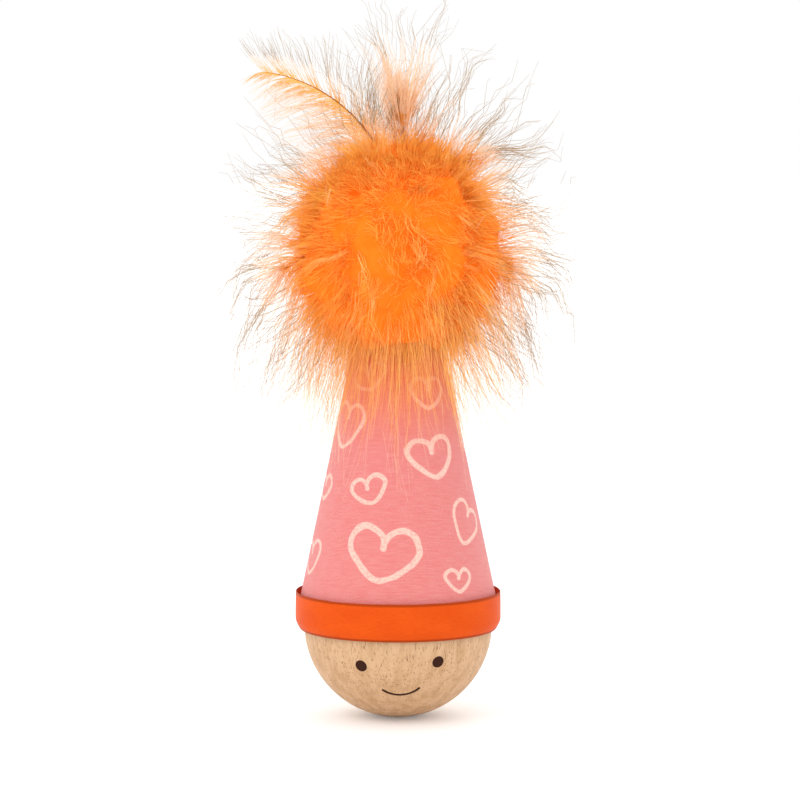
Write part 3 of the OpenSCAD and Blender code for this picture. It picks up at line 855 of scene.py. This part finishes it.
def quill_points(turn, start, curl, length, straight, drawn):
    """The quill's line, as in the solid it replaces: straight, then curling over at a steady rate.
    Only the share that is drawn carries a quill, and its barbs reach on to the solid's tip."""
    start, curl = math.radians(start), math.radians(curl)
    bend = length / curl
    heading = Vector((math.cos(math.radians(turn)), math.sin(math.radians(turn)), 0))
    root = ROOT_R + straight
    line = []
    if straight:
        line.append(heading * ROOT_R * math.cos(start) + Vector((0, 0, ROOT_R * math.sin(start))))
    for k in range(QUILL_STEPS + 1):
        now = start - curl * drawn * k / QUILL_STEPS
        out = root * math.cos(start) + bend * (math.sin(start) - math.sin(now))
        high = root * math.sin(start) + bend * (math.cos(now) - math.cos(start))
        line.append(heading * out + Vector((0, 0, high)))
    return [p + Vector((0, 0, NOD_Z)) for p in line]


barb_tree = barb_group()


def grow_feather(name, line, settings):
    """Grows the barbs on a quill's line and keeps the result as a plain mesh."""
    data = bpy.data.meshes.new(name)
    data.from_pydata(line, [(k, k + 1) for k in range(len(line) - 1)], [])
    feather = bpy.data.objects.new(name, data)
    bpy.context.scene.collection.objects.link(feather)
    grower = feather.modifiers.new("barbs", "NODES")
    grower.node_group = barb_tree
    for item in barb_tree.interface.items_tree:
        if item.in_out == "INPUT" and item.name in settings:
            grower[item.identifier] = settings[item.name]
    depsgraph = bpy.context.evaluated_depsgraph_get()
    grown = bpy.data.meshes.new_from_object(feather.evaluated_get(depsgraph))
    feather.modifiers.remove(grower)
    feather.data = grown
    for used in [a.name for a in grown.attributes if a.name.startswith("barb_")]:
        grown.attributes.remove(grown.attributes[used])
    return feather


# A plain downy feather. Its colours change at distances from the middle of the tuft.
DOWNY = {
    "Locks": 70,
    "Barbs": 6,
    "Gather": 0.95,
    "Apart": 0.7,
    "Stand off": 0.0,
    "Points": 9,
    "Side": 0.0,
    "Spread": math.pi,
    "Flatness": 0.8,
    "Crowding": 0.45,
    "Root angle": 0.95,
    "Tip angle": 0.6,
    "Short": 0.01,
    "Long": 0.044,
    "Wispiness": 1.6,
    "Tip share": 0.85,
    "Bend": 0.12,
    "Droop": 0.15,
    "Ruffle": 0.8,
    "Thickness": 0.00008,
    "From middle": 1.0,
    "Amber from": 0.027,
    "Peach from": 0.031,
    "Tan from": 0.035,
}
# The rows of the solids: name, number, first turn, step, start, curl, length
ROWS = [
    ("lower_feather", 6, -60, 60, 8, 80, 0.052),
    ("middle_feather", 5, -90, 72, 48, 78, 0.045),
    ("upper_feather", 2, 120, 120, 70, 40, 0.056),
]
DRAWN = 0.55  # share of a downy quill's length that is drawn
FORWARD_ORANGE = 0.012  # how much further out the feathers that face forward stay orange
seed = 100
for row, number, first, step, start, curl, length in ROWS:
    for k in range(number):
        turn = first + step * k
        seed += 10
        settings = dict(DOWNY, Seed=seed)
        across = math.radians(turn + 90)
        settings["Across"] = (math.cos(across), math.sin(across), 0.0)
        if row == "lower_feather":
            settings.update({"Droop": 0.4, "Long": 0.046, "Locks": 105, "Crowding": 0.85})
            settings.update({"Root angle": 1.2, "Tip angle": 0.8})
            # The lower feathers turn a paler amber nearer their root: painted light that lifts the shade
            # under the tuft
            settings.update({"Amber from": 0.025, "Tan from": 0.039})
        if row == "upper_feather":
            settings.update({"Short": 0.014, "Long": 0.044, "Root angle": 0.85, "Locks": 40})
            settings.update({"Barbs": 4, "Gather": 0.5, "Apart": 0.9})
            settings.update({"Droop": 0.0, "Bend": 0.0, "Tip angle": 0.45})
        # The feathers that face forward are the fluffier ones, with fewer long barbs
        forward = max(0.0, -math.sin(math.radians(turn)))
        settings["Long"] *= 1 - 0.4 * forward
        settings["Locks"] = int(settings["Locks"] * (1 - 0.8 * forward))
        settings["Tan from"] += FORWARD_ORANGE * forward
        settings["Peach from"] += FORWARD_ORANGE * forward
        feather = grow_feather(
            f"{row}_{k + 1}_down",
            quill_points(turn, start, curl, length, 0.0, DRAWN - 0.2 * forward),
            settings,
        )
        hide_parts(f"{row}_{k + 1}")
        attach(feather, "downy_tuft")
settings = dict(DOWNY, Seed=500, Across=(0.0, 1.0, 0.0), Locks=40)
settings.update({"Long": 0.038, "Tip angle": 0.4, "Droop": 0.05})
line = quill_points(turn=0, start=70, curl=76, length=0.05, straight=0.0, drawn=DRAWN)
feather = grow_feather("reach_feather_down", line, settings)
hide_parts("reach_feather")
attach(feather, "downy_tuft")

# The downy feet of all the feathers meet round the cone's tip in one dense ball of down. It is
# hollow below: its inside goes up along the cone to the tip and closes there.
BALL_OF_DOWN = 0.025
BALL_Z = NOD_Z - 0.0015
PROFILE_STEPS = 16
PROFILE_SPAN = 150  # degrees down from the top
LOW_BULGE, SIDE_BULGE = 1.12, 0.12  # how much fuller the lower half is, downwards and outwards
HOLLOW_DROPS = (-0.0215, -0.008, -0.0025)  # heights of the hollow's rings, from the ball's middle
OFF_CONE = 0.0012
LUMPS = ((260, 0.0014), (90, 0.0032))  # lumps to a metre, and their height
LUMPS_AT = 0.02  # distance from the middle where they have that height
DOWN_AROUND = 64
down_profile = []
for k in range(1, PROFILE_STEPS + 1):
    angle = math.radians(90 - PROFILE_SPAN * k / PROFILE_STEPS)
    high = BALL_OF_DOWN * math.sin(angle) * (1.0 if angle > 0 else LOW_BULGE)
    fuller = 1.01 + SIDE_BULGE * max(0.0, -math.sin(angle))
    down_profile.append((fuller * BALL_OF_DOWN * math.cos(angle), high))
for drop in HOLLOW_DROPS:
    height = BALL_Z + drop
    down_profile.append((CONE_R - (height - CONE_Z) * CLOTH_SLOPE + OFF_CONE, drop))
verts, faces = [], []
for r, high in down_profile:
    for k in range(DOWN_AROUND):
        a = 2 * math.pi * k / DOWN_AROUND
        way = Vector((r * math.cos(a), r * math.sin(a), high))
        lump = sum(noise.noise(way * often) * tall for often, tall in LUMPS)
        verts.append(way * (1 + lump / LUMPS_AT) + Vector((0, 0, BALL_Z)))
rings = len(down_profile)
for i in range(rings - 1):
    for k in range(DOWN_AROUND):
        j = (k + 1) % DOWN_AROUND
        a, b = i * DOWN_AROUND, (i + 1) * DOWN_AROUND
        faces.append((a + k, b + k, b + j, a + j))
faces.append(list(range(DOWN_AROUND)))
faces.append([(rings - 1) * DOWN_AROUND + k for k in reversed(range(DOWN_AROUND))])
data = bpy.data.meshes.new("tuft_middle")
data.from_pydata(verts, [], faces)
data.shade_smooth()
data.materials.append(down_material("down_depth", "#ff8520", "#ff7c16"))
ball_of_down = bpy.data.objects.new("tuft_middle", data)
bpy.context.scene.collection.objects.link(ball_of_down)
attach(ball_of_down, "downy_tuft")

# Short down stands on it all over, in three pieces. It grows from a short upright line in its middle.
AROUND_BALL = dict(DOWNY, Across=(1.0, 0.0, 0.0), Flatness=1.0, Crowding=1.0)
AROUND_BALL["Tip share"] = 1.0
settings = dict(AROUND_BALL, Locks=1000, Barbs=7, Points=5)
settings.update({"Root angle": 2.55, "Tip angle": 0.3, "Short": 0.003, "Long": 0.009})
settings.update({"Stand off": 0.0235, "Bend": 0.0, "Droop": 0.25, "Wispiness": 2.0})
settings.update({"Apart": 0.3, "Ruffle": 1.6, "Gather": 0.7})
settings.update({"Amber from": 0.033, "Peach from": 0.036, "Tan from": 0.06})
middle = [Vector((0, 0, NOD_Z - 0.004 + 0.0006 * k)) for k in range(11)]
for k in range(3):
    settings["Seed"] = 900 + 10 * k
    puff = grow_feather(f"tuft_middle_down_{k + 1}", middle, settings)
    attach(puff, "downy_tuft")

# Fine down hangs from the ball over the top of the cone as a thin haze
settings = dict(AROUND_BALL, Seed=940, Locks=480, Barbs=5, Points=7)
settings.update({"Root angle": 2.55, "Tip angle": 2.0, "Short": 0.01, "Long": 0.03})
settings.update({"Stand off": 0.016, "Bend": 0.0, "Droop": 0.9, "Wispiness": 1.6})
settings.update({"Apart": 0.5, "Gather": 0.5, "Thickness": 0.00005})
# The hanging down is amber from its root, paler than the orange: painted light that lifts the shade under
# the ball of down
settings.update({"Amber from": 0.0, "Peach from": 0.05, "Tan from": 0.08})
haze = grow_feather("tuft_hanging_down", middle, settings)
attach(haze, "downy_tuft")

# The longest barbs of the side and back feathers stand out singly, as thin tan wisps
settings = dict(AROUND_BALL, Seed=970, Across=(0.0, 1.0, 0.0), Spread=2.05, Locks=300, Barbs=2)
settings.update({"Root angle": 2.5, "Tip angle": 0.15, "Short": 0.014, "Long": 0.046})
settings.update({"Stand off": 0.019, "Bend": 0.1, "Droop": 0.15, "Wispiness": 1.0})
settings.update({"Apart": 0.5, "Gather": 0.3, "Thickness": 0.00009, "Ruffle": 0.7})
settings.update({"Peach from": 0.029, "Tan from": 0.032})
wisps = grow_feather("tuft_wisps", middle, settings)
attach(wisps, "downy_tuft")

# The softest down of the long feather's foot stands up behind its quill
settings = dict(DOWNY, Seed=950, Across=(1.0, 0.0, 0.0), Locks=95)
settings.update({"Root angle": 0.6, "Tip angle": 0.4, "Short": 0.01, "Long": 0.04})
settings.update({"Stand off": 0.004, "Gather": 0.6, "Wispiness": 7.0, "Tip share": 1.0})
settings.update({"Ruffle": 0.6, "Bend": 0.0, "Droop": 0.0, "Flatness": 1.0})
settings.update({"From middle": 0.0, "Amber from": 0.0, "Peach from": 0.002, "Tan from": 0.018})
neck = [Vector((0.0015, 0.002, NOD_Z + 0.014 + 0.002 * k)) for k in range(11)]
foot = grow_feather("tuft_upper_down", neck, settings)
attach(foot, "downy_tuft")


# Long feather
# The one feather that stands out of the fluff and curls over to the left. Its barbs are longer and
# sparser and lie in one flat vane: the upper ones sweep up, and the lower ones sweep out and hang.
long_line = quill_points(turn=180, start=89, curl=87, length=0.061, straight=0.0032, drawn=0.94)
LONG = dict(DOWNY, Barbs=3, Points=10, Across=(0.0, 1.0, 0.0), Flatness=5.0, Spread=0.35)
LONG.update({"Apart": 0.2, "Ruffle": 0.3, "Thickness": 0.00006, "From middle": 0.0})
UPPER = {"Locks": 115, "Barbs": 2, "Crowding": 0.75, "Root angle": 0.95, "Tip angle": 0.5}
UPPER.update({"Bend": -0.2, "Droop": -0.15, "Short": 0.021, "Long": 0.034, "Wispiness": 1.0})
UPPER.update({"Tip share": 0.45, "Amber from": 0.0015, "Peach from": 0.003, "Tan from": 0.007})
LOWER = {"Locks": 210, "Crowding": 1.0, "Root angle": 1.05, "Tip angle": 0.25}
LOWER.update({"Bend": 0.1, "Droop": 0.45, "Short": 0.016, "Long": 0.05, "Wispiness": 1.1})
LOWER.update({"Tip share": 0.14, "Amber from": 0.0005, "Peach from": 0.005, "Tan from": 0.026})
for name, side, seed, extra in (
    ("upper", -math.pi / 2, 600, UPPER),
    ("lower", math.pi / 2, 700, LOWER),
):
    settings = dict(LONG, Side=side, Seed=seed)
    settings.update(extra)
    feather = grow_feather(f"long_feather_{name}_barbs", long_line, settings)
    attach(feather, "long_plume")
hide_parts("long_feather")


low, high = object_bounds()
